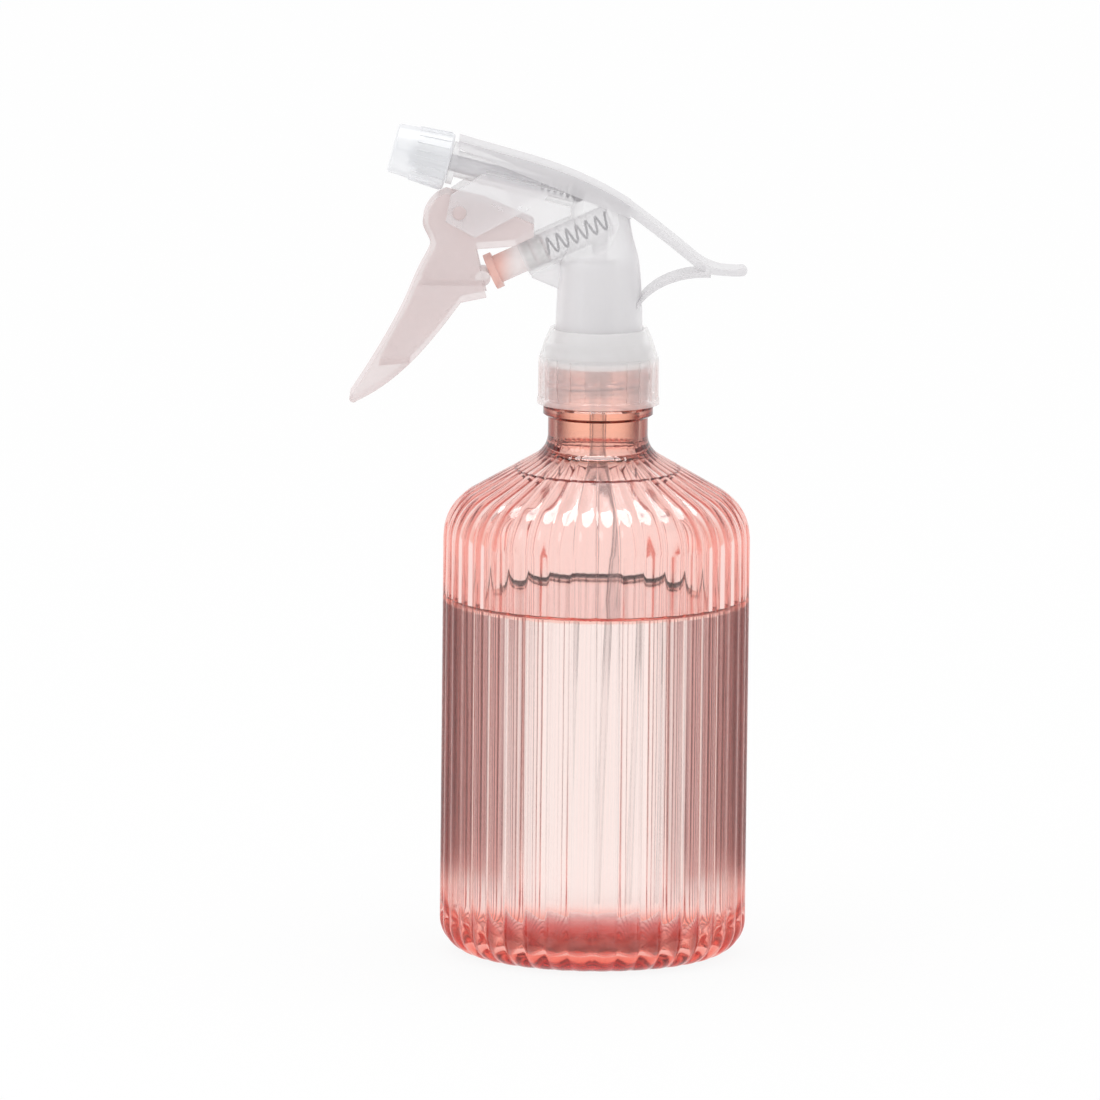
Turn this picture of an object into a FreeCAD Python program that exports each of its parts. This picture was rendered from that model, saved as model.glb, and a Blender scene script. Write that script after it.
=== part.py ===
import FreeCAD, Part
import math
import os

# Trigger mister: a fluted see-through bottle with a 28 mm screw neck, and a trigger sprayer head.
# Millimetres. +Z is up, the origin is the centre of the bottle's base, the nozzle points to -X.

# ---------------------------------------------------------------- bottle
body_radius = 40.0         # over the crests of the flutes
side_height = 109.0        # top of the straight side
foot_radius = 31.0         # ring that the bottle stands on
foot_corner = 9.0          # round between foot and side
shoulder_round = 14.0      # convex round at the top of the side
shoulder_slope = 30.0      # degrees below level, of the shoulder's straight run
neck_blend = 6.5           # concave round from the shoulder into the neck
bottle_wall = 2.2          # side wall, measured at a crest
flute_count = 40
flute_depth = 1.0          # crest to valley on the side
base_thickness = 4.5
push_up = 6.5              # how far the underside is domed in

# ---------------------------------------------------------------- neck finish (28 mm, one-turn thread)
neck_radius = 13.0
neck_bore = 10.8
plain_neck = 5.1           # from the shoulder up to the bead
bead_radius = 14.3
bead_height = 2.4
finish_height = 10.5       # from the bead up to the rim
thread_root_radius = 12.75
thread_depth = 0.95
thread_pitch = 4.23
thread_turns = 1.12
thread_root_half = 1.0     # half width of a thread ridge at its root
thread_crest_half = 0.4    # half width of a thread ridge at its crest
thread_first = 3.1         # centre of the ridge's start, above the bead
thread_flank_gap = 0.15    # between the bottle's ridge and the closure's, along the axis
thread_crest_gap = 0.3     # between a ridge's crest and the other part's wall

# ---------------------------------------------------------------- screw closure
closure_foot_gap = 0.5     # closure's foot above the neck bead
closure_wall = 1.3
closure_flare = 0.6        # bottom edge stands out by this much
closure_flare_height = 1.4
closure_ribs = 24
closure_rib_width = 0.9
closure_rib_height = 0.35
closure_roof = 5.4         # roof thickness, cone and all
closure_hole_gap = 0.3     # around the column
closure_running_gap = 0.05  # under the roof, over the head's flange

# ---------------------------------------------------------------- seals and tube holder
gasket_thickness = 1.5
gasket_inner = 9.4
gasket_outer = 13.3
holder_flange_radius = 13.0
holder_flange = 1.2
holder_plug_height = 7.0
holder_socket_radius = 3.5
holder_socket_depth = 9.5
fit_gap = 0.05             # all round, between pieces that plug or slide into each other

# ---------------------------------------------------------------- dip tube
tube_radius = 2.2
tube_bore = 1.5
tube_foot_clearance = 3.2  # tube's foot above the bottle's inner floor
tube_lean = 4.2            # degrees, of the tube's lower run
tube_bend_radius = 260.0
tube_bend_drop = 14.0      # bend starts this far under the holder's socket

# ---------------------------------------------------------------- pump body
flange_radius = 13.2
flange_height = 1.5
column_foot_radius = 11.5
column_narrowing = [(0.3, 11.0), (0.8, 20.0), (1.6, 26.0), (3.0, 31.0), (3.9, 37.0), (4.2, 48.0)]
                           # how much slimmer than its foot the column is, at heights above the foot
column_wall = 1.4
column_hollow_height = 24.0
column_hollow_taper = 1.4  # how much slimmer the hollow is at its top
stem_wall = 1.2
ball_chamber_radius = 3.0
ball_chamber_height = 6.4
inlet_bore = 1.9
joint_back = 8.2           # where the cylinder's axis meets the barrel's, behind the column's axis
joint_rise = 38.1          # the same point, above the column's foot
cylinder_tilt = 24.8       # degrees that the cylinder falls towards the front
cylinder_bore = 4.0
cylinder_wall = 1.0
cylinder_end = 6.4         # closed end, measured from the joint along the axis
cylinder_mouth = 31.0
barrel_tilt = 14.0         # degrees that the barrel rises towards the front
barrel_radius = 3.5
barrel_bore = 2.2
barrel_start = 3.0
barrel_nose = 58.0         # front end, measured from the joint along the axis
collar_radius = 5.6        # flange on the barrel that the nozzle cap closes on
collar_width = 1.6
outlet_bore = 1.1
outlet_seat = 13.0
outlet_inlet = 7.0         # back end of the outlet bore
seat_depth = 1.4           # length of a ball seat's cone
vent_bore = 0.6
ear_inner = 7.5            # inner face of the pivot ears, from the middle plane
ear_thickness = 1.4
deck_thickness = 1.4
web_thickness = 1.2

# ---------------------------------------------------------------- balls and springs
inlet_ball_radius = 2.5
outlet_ball_radius = 1.75
return_wire = 0.33         # wire radius
return_coil = 2.1          # mean coil radius
return_turns = 7
outlet_wire = 0.2
outlet_coil = 1.35
outlet_turns = 5
outlet_spring_length = 7.0
spring_gap = 0.1

# ---------------------------------------------------------------- piston
piston_rod_radius = 3.7
piston_bore = 2.6
piston_inner_end = 24.4    # measured from the joint along the cylinder's axis
piston_face = 40.3
piston_head_radius = 4.8
piston_head_thickness = 2.0
piston_bore_floor = 26.4
seal_width = 2.2
seal_groove = 0.7
piston_seal_start = 24.9
vent_seal_start = 28.2

# ---------------------------------------------------------------- trigger
pivot_behind_nose = 11.58  # pivot behind the barrel's nose
pivot_drop = 0.4           # pivot below that joint
trigger_inner = 6.0        # inner face of the trigger's side walls, from the middle plane
trigger_wall = 1.2
finger_plate = 1.5
trunnion_radius = 1.8
pusher_radius = 2.0
pusher_gap = 0.12          # between the pusher and the piston's face at rest
pusher_rib = 1.5
# Outlines of the trigger and the ears, as points behind and above the pivot.
trigger_front_line = [(-3.6, 4.7), (-8.2, 1.0), (-9.4, -3.2), (-7.5, -7.6), (-9.7, -14.3), (-13.8, -23.7),
                      (-18.6, -33.2), (-24.2, -42.7), (-28.0, -48.6)]
trigger_tip = (-27.8, -49.7)
trigger_back_line = [(-26.2, -49.6), (-19.4, -45.6), (-12.1, -39.3), (-4.0, -29.8), (0.6, -23.6)]
trigger_wing_line = [(7.2, -22.2), (4.2, -9.6), (14.0, -8.8), (19.3, -6.2), (19.3, -3.0), (6.0, 2.6)]
trigger_hollow_tip = (-20.5, -40.5)
trigger_hollow_line = [(4.0, -38.0), (24.0, -30.0), (24.0, 12.0)]
pusher_rib_front = -10.0   # front end of the pusher's rib, sunk in the finger plate
ear_line = [(-2.3, 4.5), (-3.5, -2.3), (4.1, -6.3), (20.9, 2.7), (23.5, 5.6)]
ear_root = 6.0             # front end of the ear's root on the deck

# ---------------------------------------------------------------- nozzle
cap_length = 15.0
cap_overlap = 9.0          # cap's rear edge, behind the barrel's nose
cap_rear_radius = 7.5
cap_front_radius = 6.45
cap_ribs = 20
cap_rib_length = 8.5
cap_rib_height = 0.3
cap_gap = 0.3              # behind the cap when it is screwed home
orifice_radius = 0.35
swirl_depth = 0.9
swirl_radius = 1.6
spray_cone = 1.5           # depth of the flare in the cap's face
core_flat = 1.7            # half distance across the core's flats
core_nose = 1.2            # core's tip in front of the barrel's nose
seal_outer = 5.1
seal_length = 1.8
seal_behind_nose = 3.2

# ---------------------------------------------------------------- shroud
shroud_half = 7.5
shroud_plate = 1.2
shroud_lip = 1.2           # thickness of the side lips
shroud_front_lip = 2.1     # depth of the lips at the front
shroud_rear_lip = 3.3      # depth of the lips over the column
shroud_gap = 0.15
tail_half = 6.0
tail_thickness = 2.8       # measured upright
tail_tip_thickness = 2.2
strut_thickness = 1.5      # measured upright
cover_front_gap = 1.0      # cover's front edge behind the nozzle cap, along the barrel
cover_front_height = 6.87  # cover's top over the barrel's axis, at its front edge
cover_brow_back = 13.8     # next point of the top line, behind the front edge
cover_brow_height = 6.5
# Top line of the cover from there to the tail, measured from the joint of the two axes.
cover_line = [(-20.0, 11.1), (-11.9, 7.9), (-0.2, 1.6), (8.2, -4.7), (16.1, -11.0)]
# Top line of the tail behind it, and the underside of the strut from the tail to the column.
tail_line = [(16.1, -11.0), (20.6, -13.9), (29.0, -14.6)]
strut_line = [(20.6, -17.0), (10.4, -18.5), (7.1, -20.1), (1.5, -25.5)]

# ================================================================ derived sizes
slope = math.radians(shoulder_slope)
flank_turn = math.pi / 2 - slope
round_end_r = body_radius - shoulder_round * (1 - math.cos(flank_turn))
round_end_z = side_height + shoulder_round * math.sin(flank_turn)
blend_start_r = neck_radius + neck_blend * (1 - math.cos(flank_turn))
blend_start_z = round_end_z + (round_end_r - blend_start_r) * math.tan(slope)
neck_base_z = blend_start_z + neck_blend * math.sin(flank_turn)
bead_z = neck_base_z + plain_neck
bead_top_z = bead_z + bead_height
rim_z = bead_top_z + finish_height
floor_z = push_up + base_thickness

thread_major_radius = thread_root_radius + thread_depth
closure_bore = thread_major_radius + thread_crest_gap
closure_radius = closure_bore + closure_wall
closure_foot_z = bead_top_z + closure_foot_gap
flank_rise = (thread_root_half - thread_crest_half) / thread_depth
thread_offset = thread_root_half + thread_crest_half - flank_rise * thread_crest_gap + thread_flank_gap

holder_z = rim_z + gasket_thickness
flange_z = holder_z + holder_flange
flange_top_z = flange_z + flange_height
roof_z = flange_top_z + closure_running_gap
plug_top_z = flange_z + holder_plug_height
socket_foot_z = holder_z - holder_socket_depth
plug_radius = ball_chamber_radius - fit_gap
stem_radius = ball_chamber_radius + stem_wall
chamber_top_z = plug_top_z + ball_chamber_height

tilt = math.radians(cylinder_tilt)
rise = math.radians(barrel_tilt)
joint = FreeCAD.Vector(joint_back, 0, flange_z + joint_rise)
pivot_x = joint.x - barrel_nose * math.cos(rise) + pivot_behind_nose
pivot_z = joint.z - pivot_drop
cylinder_way = FreeCAD.Vector(-math.cos(tilt), 0, -math.sin(tilt))
barrel_way = FreeCAD.Vector(-math.cos(rise), 0, math.sin(rise))
cylinder_radius = cylinder_bore + cylinder_wall
ear_outer = ear_inner + ear_thickness
trigger_half = trigger_inner + trigger_wall
spring_start = cylinder_end + spring_gap
spring_end = piston_bore_floor - spring_gap
pusher_place = piston_face + pusher_gap + pusher_radius
cap_rear = barrel_nose - cap_overlap
cap_front = cap_rear + cap_length
core_rear = outlet_seat + seat_depth + 2 * outlet_ball_radius + outlet_spring_length


# ================================================================ helpers
def on_cylinder(distance):
    """Point on the pump cylinder's axis, counted from the joint towards the front."""
    return joint + cylinder_way * distance


def on_barrel(distance):
    """Point on the barrel's axis, counted from the joint towards the nozzle."""
    return joint + barrel_way * distance


def over_barrel(distance, height):
    """(x, z) of a point at a height over the barrel's axis."""
    point = on_barrel(distance) + FreeCAD.Vector(math.sin(rise), 0, math.cos(rise)) * height
    return (point.x, point.z)


def from_joint(points, drop=0.0):
    """Points given from the joint of the two axes, lowered by drop."""
    return [(joint.x + x, joint.z + z - drop) for x, z in points]


def from_pivot(points):
    """Points given from the trigger's pivot."""
    return [(pivot_x + x, pivot_z + z) for x, z in points]


def rod(start, way, length, radius):
    """Solid cylinder from a point along a direction."""
    return Part.makeCylinder(radius, length, start, way)


def pipe(start, way, length, outer, inner):
    """Tube from a point along a direction."""
    return rod(start, way, length, outer).cut(rod(start, way, length, inner))


def cone(start, way, length, first, last):
    """Truncated cone from a point along a direction."""
    return Part.makeCone(first, last, length, start, way)


def side_points(points):
    """Points in the middle plane, from (x, z) pairs."""
    return [FreeCAD.Vector(x, 0, z) for x, z in points]


def line_through(points):
    """Straight edges through (x, z) pairs."""
    corners = side_points(points)
    return [Part.makeLine(a, b) for a, b in zip(corners, corners[1:])]


def curve_through(points):
    """One smooth edge through (x, z) pairs."""
    curve = Part.BSplineCurve()
    curve.interpolate(side_points(points))
    return [curve.toShape()]


def arc_through(first, middle, last):
    """Arc edge through three (x, z) pairs."""
    return [Part.Arc(*side_points([first, middle, last])).toShape()]


def profile_face(edges):
    """Face in the middle plane inside a ring of edges."""
    return Part.Face(Part.Wire(Part.__sortEdges__(edges)))


def turned(edges):
    """Solid made by turning a half profile about the bottle's axis."""
    return profile_face(edges).revolve(FreeCAD.Vector(), FreeCAD.Vector(0, 0, 1), 360)


def turned_outline(points):
    """Turned solid with a straight-sided half profile."""
    return turned(line_through(points + points[:1]))


def plate(edges, low, high):
    """Plate with a side outline, from one Y to another."""
    face = profile_face(edges)
    face.translate(FreeCAD.Vector(0, low, 0))
    return face.extrude(FreeCAD.Vector(0, high - low, 0))


def plate_outline(points, low, high):
    """Plate with a straight-sided side outline."""
    return plate(line_through(points + points[:1]), low, high)


def both_sides(points, inner, outer):
    """Pair of mirrored plates at equal distances from the middle plane."""
    near = plate_outline(points, -outer, -inner)
    far = plate_outline(points, inner, outer)
    return [near, far]


def around(shape, count, start, way):
    """Copies of a shape, evenly spaced about an axis."""
    return [shape.rotated(start, way, 360.0 * i / count) for i in range(count)]


def thread_ridge(root, crest, root_half, crest_half, start_z):
    """Right-hand thread ridge about the bottle's axis. Its crest may point in or out."""
    height = thread_pitch * thread_turns
    helix = Part.makeHelix(thread_pitch, height, root)
    sink = 0.15 if root < crest else -0.15
    corners = side_points([
        (root - sink, -root_half), (crest, -crest_half), (crest, crest_half), (root - sink, root_half),
    ])
    section = Part.makePolygon(corners + corners[:1])
    ridge = Part.Wire(helix.Edges).makePipeShell([section], True, True)
    ridge.translate(FreeCAD.Vector(0, 0, start_z))
    return ridge


def coil_spring(wire, coil, turns, length, start, way):
    """Helical spring whose ends lie between start and start + length."""
    run = length - 2 * wire
    helix = Part.makeHelix(run / turns, run, coil)
    circle = Part.Circle(FreeCAD.Vector(coil, 0, 0), FreeCAD.Vector(0, 1, 0), wire)
    section = Part.Wire(circle.toShape())
    spring = Part.Wire(helix.Edges).makePipeShell([section], True, True)
    spring.translate(FreeCAD.Vector(0, 0, wire))
    turn = FreeCAD.Rotation(FreeCAD.Vector(0, 0, 1), way)
    spring.Placement = FreeCAD.Placement(start, turn).multiply(spring.Placement)
    return spring


# ================================================================ bottle
def foot_arc(share):
    """Crest radius and height on the foot's round, for a share of it."""
    turn = math.pi / 2 * share
    return (body_radius - foot_corner + foot_corner * math.sin(turn), foot_corner * (1 - math.cos(turn)))


def shoulder_arc(share):
    """Crest radius and height on the shoulder's convex round."""
    turn = flank_turn * share
    return (body_radius - shoulder_round * (1 - math.cos(turn)),
            side_height + shoulder_round * math.sin(turn))


def blend_arc(share):
    """Crest radius and height on the concave round into the neck."""
    turn = flank_turn * (1 - share)
    return (neck_radius + neck_blend * (1 - math.cos(turn)), neck_base_z - neck_blend * math.sin(turn))


def fluted_ring(radius, height):
    """Closed ring of convex scallops, one per flute, meeting in sharp valleys."""
    depth = flute_depth * (radius - neck_radius) / (body_radius - neck_radius) + 0.08
    pitch = 2 * math.pi / flute_count

    def at(share, r):
        return FreeCAD.Vector(r * math.cos(share * pitch), r * math.sin(share * pitch), height)

    arcs = []
    for i in range(flute_count):
        arc = Part.Arc(at(i, radius - depth), at(i + 0.5, radius), at(i + 1, radius - depth))
        arcs.append(arc.toShape())
    return Part.Wire(arcs)


def fluted_run(stations, straight):
    """Fluted solid through rings at (radius, height) stations."""
    return Part.makeLoft([fluted_ring(r, z) for r, z in stations], True, straight)


def bottle_outside():
    """Fluted body, plain foot and neck, all solid."""
    foot_shares = [0.14 + 0.86 * step / 5 for step in range(6)]
    runs = [
        fluted_run([foot_arc(share) for share in foot_shares], False),
        fluted_run([foot_arc(1), shoulder_arc(0)], True),
        fluted_run([shoulder_arc(step / 5) for step in range(6)], False),
        fluted_run([shoulder_arc(1), blend_arc(0)], True),
        fluted_run([blend_arc(step / 3) for step in range(4)], False),
    ]
    first_r, first_z = foot_arc(foot_shares[0])
    foot_top = first_r - flute_depth
    foot = turned_outline([(0, 0), (foot_radius, 0), (foot_top, first_z), (foot_top, first_z + 0.3),
                           (0, first_z + 0.3)])
    neck = turned_outline([
        (0, neck_base_z - 1), (neck_radius, neck_base_z - 1), (neck_radius, bead_z - 0.7),
        (bead_radius, bead_z), (bead_radius, bead_top_z - 0.4), (bead_radius - 0.6, bead_top_z),
        (thread_root_radius, bead_top_z), (thread_root_radius, rim_z), (0, rim_z),
    ])
    return runs[0].fuse(runs[1:] + [foot, neck])


def bottle_inside():
    """Space inside the bottle, from the domed floor to the mouth."""
    inner_r = body_radius - bottle_wall
    corner = foot_corner + 1.0
    low_z = base_thickness + corner
    top_z = side_height
    bend = shoulder_round - bottle_wall
    end_r = inner_r - bend * (1 - math.cos(flank_turn))
    end_z = top_z + bend * math.sin(flank_turn)
    throat_z = end_z + (end_r - neck_bore) * math.tan(slope)
    half = flank_turn / 2
    corner_mid = (inner_r - corner * (1 - math.sqrt(0.5)), low_z - corner * math.sqrt(0.5))
    round_mid = (inner_r - bend * (1 - math.cos(half)), top_z + bend * math.sin(half))
    edges = line_through([(0, rim_z + 1), (0, floor_z)])
    edges += curve_through([(0, floor_z), (0.45 * inner_r, floor_z - 0.3 * push_up),
                            (inner_r - corner, base_thickness)])
    edges += arc_through((inner_r - corner, base_thickness), corner_mid, (inner_r, low_z))
    edges += line_through([(inner_r, low_z), (inner_r, top_z)])
    edges += arc_through((inner_r, top_z), round_mid, (end_r, end_z))
    edges += line_through([(end_r, end_z), (neck_bore, throat_z), (neck_bore, rim_z + 1), (0, rim_z + 1)])
    return turned(edges)


def bottle():
    """Bottle with flutes, domed base, and its neck thread."""
    solid = bottle_outside().cut(bottle_inside())
    dome_r = foot_radius - 3.0
    dome = line_through([(0, -1), (0, push_up)]) + arc_through(
        (0, push_up), (0.62 * dome_r, 0.66 * push_up), (dome_r, 0))
    dome += line_through([(dome_r, 0), (dome_r, -1), (0, -1)])
    solid = solid.cut(turned(dome))
    ridge = thread_ridge(thread_root_radius, thread_major_radius,
                         thread_root_half, thread_crest_half, bead_top_z + thread_first)
    return solid.fuse(ridge)


# ================================================================ closure and seals
def screw_closure():
    """Ribbed skirt with an inside thread, and a coned roof that holds the head down."""
    hole = column_foot_radius + closure_hole_gap
    top_z = roof_z + closure_roof
    skirt = turned_outline([
        (closure_bore, closure_foot_z), (closure_radius + closure_flare, closure_foot_z),
        (closure_radius + closure_flare, closure_foot_z + closure_flare_height),
        (closure_radius, closure_foot_z + closure_flare_height + 0.5),
        (closure_radius, roof_z - 1.6), (closure_radius - 0.5, roof_z),
        (closure_radius - 1.3, roof_z + 0.45 * closure_roof), (hole + 0.9, top_z),
        (hole, top_z), (hole, roof_z), (closure_bore, roof_z),
    ])
    rib_z = closure_foot_z + closure_flare_height
    rib = Part.makeBox(
        closure_wall, closure_rib_width, roof_z - 2.0 - rib_z,
        FreeCAD.Vector(closure_bore + closure_rib_height, -closure_rib_width / 2, rib_z))
    ribs = around(rib, closure_ribs, FreeCAD.Vector(), FreeCAD.Vector(0, 0, 1))
    ridge = thread_ridge(closure_bore, closure_bore - thread_depth, thread_root_half, thread_crest_half,
                         bead_top_z + thread_first - thread_offset)
    return skirt.fuse(ribs).fuse(ridge)


def neck_gasket():
    """Flat ring between the bottle's rim and the tube holder."""
    start = FreeCAD.Vector(0, 0, rim_z)
    return pipe(start, FreeCAD.Vector(0, 0, 1), gasket_thickness, gasket_outer, gasket_inner)


def tube_holder():
    """Flanged plug: dip tube socket below, inlet valve seat above."""
    up = FreeCAD.Vector(0, 0, 1)
    socket = rod(FreeCAD.Vector(0, 0, socket_foot_z), up, holder_socket_depth, holder_socket_radius)
    flange = rod(FreeCAD.Vector(0, 0, holder_z), up, holder_flange, holder_flange_radius)
    plug = rod(FreeCAD.Vector(0, 0, flange_z), up, holder_plug_height, plug_radius)
    solid = socket.fuse([flange, plug])
    tube_seat = rod(FreeCAD.Vector(0, 0, socket_foot_z - 1), up, holder_socket_depth + 1,
                    tube_radius + fit_gap)
    way = rod(FreeCAD.Vector(0, 0, holder_z - 1), up, plug_top_z - holder_z + 2, tube_bore)
    seat = cone(FreeCAD.Vector(0, 0, plug_top_z - seat_depth), up, seat_depth, tube_bore,
                inlet_ball_radius)
    return solid.cut(tube_seat).cut(way).cut(seat)


def seat_rest(ball, seat_small, seat_large):
    """Height of a ball's centre above the small end of the cone it rests in."""
    half = math.atan2(seat_large - seat_small, seat_depth)
    return (ball / math.cos(half) - seat_small) / math.tan(half)


def inlet_ball():
    """Ball on its seat in the tube holder."""
    height = seat_rest(inlet_ball_radius, tube_bore, inlet_ball_radius)
    centre = plug_top_z - seat_depth + height + fit_gap
    return Part.makeSphere(inlet_ball_radius, FreeCAD.Vector(0, 0, centre))


def tube_path(radius):
    """Dip tube's solid for one radius: straight, gently bent, and straight again."""
    down = FreeCAD.Vector(0, 0, -1)
    lean = math.radians(tube_lean)
    top = FreeCAD.Vector(0, 0, holder_z - fit_gap)
    bend_z = socket_foot_z - tube_bend_drop
    start = FreeCAD.Vector(0, 0, bend_z)
    mid = start + FreeCAD.Vector(tube_bend_radius * (1 - math.cos(lean / 2)), 0,
                                 -tube_bend_radius * math.sin(lean / 2))
    end = start + FreeCAD.Vector(tube_bend_radius * (1 - math.cos(lean)), 0,
                                 -tube_bend_radius * math.sin(lean))
    foot_z = floor_z + tube_foot_clearance
    foot = end + FreeCAD.Vector(math.tan(lean) * (end.z - foot_z), 0, foot_z - end.z)
    path = Part.Wire([Part.makeLine(top, start), Part.Arc(start, mid, end).toShape(),
                      Part.makeLine(end, foot)])
    section = Part.Wire(Part.Circle(top, down, radius).toShape())
    return path.makePipeShell([section], True, True)


def dip_tube():
    """Tube from the holder's socket down to the bottle's floor."""
    return tube_path(tube_radius).cut(tube_path(tube_bore))


# ================================================================ pump body
def roof_line(drop):
    """Underside of the cover's plate over the column, lowered by drop."""
    return from_joint(cover_line[:4], 1.15 * shroud_plate + drop)


def above_roof(drop):
    """Block over the roof line, which trims what lies under the cover."""
    roof = roof_line(drop)
    return plate_outline(roof + [(roof[-1][0], joint.z + 40), (roof[0][0], joint.z + 40)], -20, 20)


def barrel_outside(gap):
    """Barrel, trimmed under the cover, and grown by a gap for what fits around it."""
    barrel = rod(on_barrel(barrel_start), barrel_way, barrel_nose - barrel_start, barrel_radius + gap)
    return barrel.cut(above_roof(shroud_gap - gap))


def column_turned(gap):
    """Round column that draws in towards its top, grown by a gap for what fits around it."""
    foot = (column_foot_radius + gap, flange_z)
    side = [foot] + [(foot[0] - slimmer, flange_z + height) for slimmer, height in column_narrowing]
    top_z = side[-1][1]
    edges = curve_through(side) + line_through([side[-1], (0, top_z), (0, flange_z), foot])
    return turned(edges)


def column_outside():
    """Column, trimmed under the roof and narrowed to the shroud's width."""
    column = column_turned(0).cut(above_roof(shroud_gap))
    low_z = joint.z - 16
    for side in (-1, 1):
        corners = [(side * 12.0, low_z), (side * (shroud_half - shroud_lip - shroud_gap), low_z + 12.5),
                   (side * (shroud_half - shroud_lip - shroud_gap), low_z + 40), (side * 20, low_z + 40),
                   (side * 20, low_z)]
        points = [FreeCAD.Vector(-20, y, z) for y, z in corners]
        flank = Part.Face(Part.makePolygon(points + points[:1])).extrude(FreeCAD.Vector(40, 0, 0))
        column = column.cut(flank)
    return column


def ear_outline():
    """Side outline of a pivot ear, from the deck down around the pivot."""
    deck_z = on_barrel(barrel_nose - 18).z
    return [(pivot_x + ear_root, deck_z)] + from_pivot(ear_line)


def deck():
    """Level strip on each side of the barrel, which carries the ears."""
    start = on_barrel(barrel_nose - 19)
    end = on_barrel(outlet_seat + 5)
    half = deck_thickness / 2
    outline = [(start.x, start.z - half), (end.x, end.z - half), (end.x, end.z + half),
               (start.x, start.z + half)]
    return plate_outline(outline, -ear_outer, ear_outer)


def pump_body():
    """Column, cylinder, barrel, deck and pivot ears in one moulding."""
    up = FreeCAD.Vector(0, 0, 1)
    flange = rod(FreeCAD.Vector(0, 0, flange_z), up, flange_height, flange_radius)
    column = column_outside()
    hollow_radius = column_foot_radius - column_wall
    hollow = cone(FreeCAD.Vector(0, 0, flange_z), up, column_hollow_height, hollow_radius,
                  hollow_radius - column_hollow_taper)
    stem = rod(FreeCAD.Vector(0, 0, flange_z), up, column_hollow_height + 2, stem_radius)
    cylinder = rod(on_cylinder(cylinder_end - 1.5), cylinder_way,
                   cylinder_mouth - cylinder_end + 1.5, cylinder_radius)
    barrel = barrel_outside(0)
    collar = rod(on_barrel(cap_rear - cap_gap - collar_width), barrel_way, collar_width, collar_radius)
    gusset_top = on_cylinder(cylinder_mouth - 1.5)
    gusset = plate_outline([
        (gusset_top.x, gusset_top.z), (gusset_top.x + 1.0, gusset_top.z - cylinder_radius - 0.6),
        (-column_foot_radius + 1.2, gusset_top.z - 8.6), (-column_foot_radius + 1.4, gusset_top.z + 6)],
        -vent_bore - column_wall, vent_bore + column_wall)
    web_low = on_cylinder(cylinder_mouth - 2)
    web_high = on_barrel(barrel_nose - 23)
    web_back = on_barrel(outlet_seat - 2)
    web = plate_outline([
        (web_low.x, web_low.z), (web_high.x, web_high.z), (web_back.x, web_back.z),
        (on_cylinder(12).x, on_cylinder(12).z)], -web_thickness / 2, web_thickness / 2)
    ears = both_sides(ear_outline(), ear_inner, ear_outer)
    solid = flange.fuse(column).cut(hollow)
    solid = solid.fuse([stem, cylinder, barrel, collar, gusset, web, deck()] + ears)

    plug_hole = rod(FreeCAD.Vector(0, 0, flange_z - 1), up, chamber_top_z - flange_z + 1,
                    ball_chamber_radius)
    cylinder_floor = on_cylinder(cylinder_end)
    riser = rod(FreeCAD.Vector(0, 0, chamber_top_z - 1), up, joint.z - chamber_top_z - 4, inlet_bore)
    pump_hole = rod(cylinder_floor, cylinder_way, cylinder_mouth, cylinder_bore)
    outlet = rod(on_barrel(outlet_inlet), barrel_way, outlet_seat - outlet_inlet, outlet_bore)
    seat = cone(on_barrel(outlet_seat - 0.01), barrel_way, seat_depth, outlet_bore, barrel_bore)
    bore_start = outlet_seat + seat_depth - 0.02
    bore = rod(on_barrel(bore_start), barrel_way, barrel_nose - bore_start + 1, barrel_bore)
    port_start = on_barrel(outlet_inlet + outlet_bore)
    port_way = on_cylinder(cylinder_end + 1.5) - port_start
    port = rod(port_start, port_way, port_way.Length, outlet_bore)
    vent_start = on_cylinder(vent_seal_start + seal_width / 2)
    vent_end = FreeCAD.Vector(-column_foot_radius + column_wall + 2.5, 0, gusset_top.z - 2.5)
    vent_way = vent_end - vent_start
    vent = rod(vent_start, vent_way, vent_way.Length, vent_bore)
    pivot_hole = rod(FreeCAD.Vector(pivot_x, -ear_outer - 1, pivot_z), FreeCAD.Vector(0, 1, 0),
                     2 * ear_outer + 2, trunnion_radius + fit_gap)
    return solid.cut([plug_hole, riser, pump_hole, outlet, seat, bore, port, vent, pivot_hole])


# ================================================================ pump insides
def piston():
    """Hollow rod with a wide face for the trigger and grooves for two seals."""
    start = on_cylinder(piston_inner_end)
    body = rod(start, cylinder_way, piston_face - piston_inner_end, piston_rod_radius)
    head = rod(on_cylinder(piston_face - piston_head_thickness), cylinder_way, piston_head_thickness,
               piston_head_radius)
    solid = body.fuse(head)
    pocket = rod(start, cylinder_way, piston_bore_floor - piston_inner_end, piston_bore)
    solid = solid.cut(pocket)
    for place in (piston_seal_start, vent_seal_start):
        ring = pipe(on_cylinder(place), cylinder_way, seal_width, cylinder_bore,
                    piston_rod_radius - seal_groove)
        solid = solid.cut(ring)
    return solid


def lip_seal(place):
    """Seal ring with a flared lip that faces the pressure side."""
    inner = piston_rod_radius - seal_groove + fit_gap / 2
    outer = cylinder_bore - fit_gap
    ring = pipe(on_cylinder(place + fit_gap), cylinder_way, seal_width - 2 * fit_gap, outer, inner)
    waist_start = on_cylinder(place + seal_width * 0.45)
    waist = pipe(waist_start, cylinder_way, seal_width, outer + 1, outer - 0.35)
    return ring.cut(waist)


def return_spring():
    """Steel spring between the cylinder's closed end and the piston."""
    return coil_spring(return_wire, return_coil, return_turns, spring_end - spring_start,
                       on_cylinder(spring_start), cylinder_way)


def outlet_ball_place():
    """Distance of the outlet ball's centre from the joint, resting on its seat."""
    return outlet_seat + seat_rest(outlet_ball_radius, outlet_bore, barrel_bore) + fit_gap


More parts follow.
